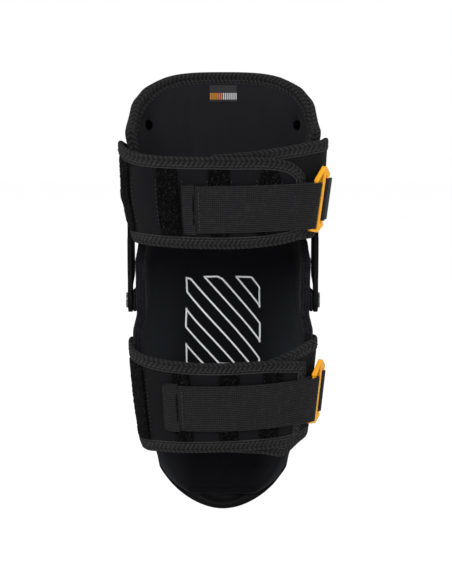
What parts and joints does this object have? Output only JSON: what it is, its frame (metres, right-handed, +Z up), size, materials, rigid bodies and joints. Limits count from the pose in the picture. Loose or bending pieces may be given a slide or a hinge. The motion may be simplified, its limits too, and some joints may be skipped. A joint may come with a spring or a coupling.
{
  "type": "knee guard",
  "caption": "Hinged knee guard for kneeling work: padded thigh and knee sections joined by two side arms, elastic straps run through amber rings.",
  "frame": {"origin": "On the knee hinge axis, midway between the two side arms.", "axes": "+X to the right seen from behind the leg, +Y forward to the kneeling side, +Z up along the leg."},
  "size_m": [0.223, 0.1797, 0.481],
  "materials": {
    "liner_fabric": "matte",
    "foam": "matte",
    "binding_tape": "matte",
    "tag_fabric": "matte",
    "shell_plastic": "matte",
    "black_rubber": "matte",
    "wing_fabric": "matte",
    "loop_fabric": "matte",
    "elastic": "matte",
    "ring_plastic": "satin",
    "webbing": "matte",
    "arm_plastic": "satin",
    "steel": "satin",
    "washer_plastic": "satin",
    "gel": "satin",
    "silicone_print": "satin"
  },
  "bodies": {
    "shin_section": {"pad_liner": "liner_fabric", "pad_foam": "foam", "gel_insert": "gel", "pad_binding": "binding_tape", "grip_print": "silicone_print", "knee_cap": "shell_plastic", "knee_tread": "black_rubber", "shin_plate": "shell_plastic", "cap_rivets": "steel", "hinge_pins": "steel", "hinge_washers": "washer_plastic", "calf_wing_left": "wing_fabric", "calf_wing_left_binding": "binding_tape", "calf_wing_right": "wing_fabric", "calf_wing_right_binding": "binding_tape", "calf_loop_strips": "loop_fabric", "calf_strap": "elastic", "calf_keeper": "webbing"},
    "thigh_section": {"thigh_liner": "liner_fabric", "thigh_foam": "foam", "thigh_binding": "binding_tape", "thigh_tag": "tag_fabric", "thigh_plate": "shell_plastic", "thigh_buttons": "black_rubber", "thigh_wing_left": "wing_fabric", "thigh_wing_left_binding": "binding_tape", "thigh_wing_right": "wing_fabric", "thigh_wing_right_binding": "binding_tape", "thigh_loop_strips": "loop_fabric", "thigh_strap": "elastic", "thigh_keeper": "webbing", "arm_left": "arm_plastic", "arm_right": "arm_plastic", "arm_rivets": "steel"},
    "thigh_ring_body": {"thigh_ring": "ring_plastic"},
    "calf_ring_body": {"calf_ring": "ring_plastic"},
    "thigh_tab_body": {"thigh_strap_tab": "elastic"},
    "calf_tab_body": {"calf_strap_tab": "elastic"}
  },
  "joints": [
    {"name": "knee_flex", "type": "hinge", "parent": "shin_section", "child": "thigh_section", "pos_m": [0, 0, 0], "axis": [1, 0, 0], "range_deg": [-5, 75]},
    {"name": "thigh_ring_swing", "type": "hinge", "parent": "thigh_section", "child": "thigh_ring_body", "pos_m": [0.10206, -0.03109, 0.10168], "axis": [0.1287, 0, 0.9917], "range_deg": [0, 20], "deforming": ["thigh_strap"]},
    {"name": "calf_ring_swing", "type": "hinge", "parent": "shin_section", "child": "calf_ring_body", "pos_m": [0.10081, -0.01564, -0.0999], "axis": [0.1051, 0, 0.9945], "range_deg": [0, 20], "deforming": ["calf_strap"]},
    {"name": "thigh_tab_peel", "type": "hinge", "parent": "thigh_section", "child": "thigh_tab_body", "pos_m": [-0.02703, -0.07807, 0.10088], "axis": [-0.0412, -0.0808, 0.9959], "range_deg": [0, 75]},
    {"name": "calf_tab_peel", "type": "hinge", "parent": "shin_section", "child": "calf_tab_body", "pos_m": [-0.04458, -0.06563, -0.10222], "axis": [-0.0544, -0.0514, 0.9972], "range_deg": [0, 75]}
  ]
}
